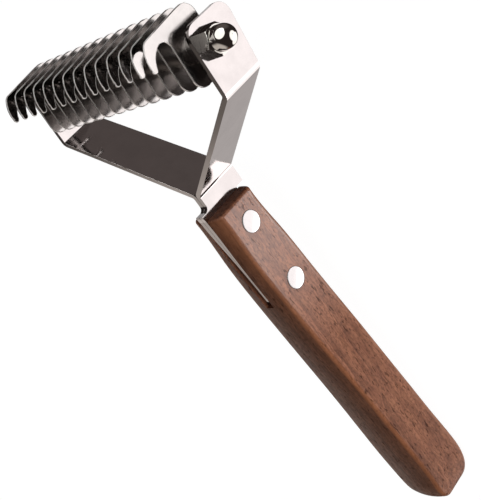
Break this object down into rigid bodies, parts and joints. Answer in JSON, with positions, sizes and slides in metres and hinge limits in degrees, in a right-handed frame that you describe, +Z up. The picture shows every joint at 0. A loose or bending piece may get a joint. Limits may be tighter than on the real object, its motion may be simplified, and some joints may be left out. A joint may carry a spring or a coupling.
{
  "type": "deshedding rake",
  "caption": "Grooming rake with a pack of hooked steel blades on a bolt in a forked steel holder, riveted into a wooden handle.",
  "frame": {"origin": "the middle of the whole tool's bounding box; the bolt's axis runs along X at Y 0.0764 m, Z 0.00065 m", "axes": "+X along the bolt towards the cap nut, +Y from the handle's butt towards the head, +Z up on the side that the blade hooks stand out on"},
  "size_m": [0.0868, 0.1732, 0.0312],
  "materials": {
    "walnut_wood": "oiled walnut, fine open pores",
    "polished_strip": "polished stainless strip",
    "rivet_steel": "satin, ground flush",
    "blade_steel": "polished stainless with fine grinding lines",
    "spacer_steel": "turned",
    "bolt_steel": "nickel plated",
    "nut_steel": "polished nickel plate"
  },
  "bodies": {
    "handle_and_fork": {"handle": "walnut_wood", "fork_strip_right": "polished_strip", "fork_strip_left": "polished_strip", "rivet_1_tube": "rivet_steel", "rivet_1_pin": "rivet_steel", "rivet_2_tube": "rivet_steel", "rivet_2_pin": "rivet_steel", "bolt": "bolt_steel"},
    "blade_pack": {"blade_01": "blade_steel", "blade_02": "blade_steel", "blade_03": "blade_steel", "blade_04": "blade_steel", "blade_05": "blade_steel", "blade_06": "blade_steel", "blade_07": "blade_steel", "blade_08": "blade_steel", "blade_09": "blade_steel", "blade_10": "blade_steel", "blade_11": "blade_steel", "blade_12": "blade_steel", "blade_13": "blade_steel", "blade_14": "blade_steel", "spacer_01": "spacer_steel", "spacer_02": "spacer_steel", "spacer_03": "spacer_steel", "spacer_04": "spacer_steel", "spacer_05": "spacer_steel", "spacer_06": "spacer_steel", "spacer_07": "spacer_steel", "spacer_08": "spacer_steel", "spacer_09": "spacer_steel", "spacer_10": "spacer_steel", "spacer_11": "spacer_steel", "spacer_12": "spacer_steel", "spacer_13": "spacer_steel", "end_washer_left": "spacer_steel", "end_washer_right": "spacer_steel"},
    "nut": {"cap_nut": "nut_steel"}
  },
  "joints": [
    {"name": "blade_pack_swivel", "type": "hinge", "parent": "handle_and_fork", "child": "blade_pack", "pos_m": [-0.0027, 0.0764, 0.00065], "axis": [1, 0, 0], "range_deg": [-90, 70]},
    {"name": "cap_nut_turn", "type": "hinge", "parent": "handle_and_fork", "child": "nut", "pos_m": [0.0373, 0.0764, 0.00065], "axis": [1, 0, 0], "continuous": true}
  ]
}
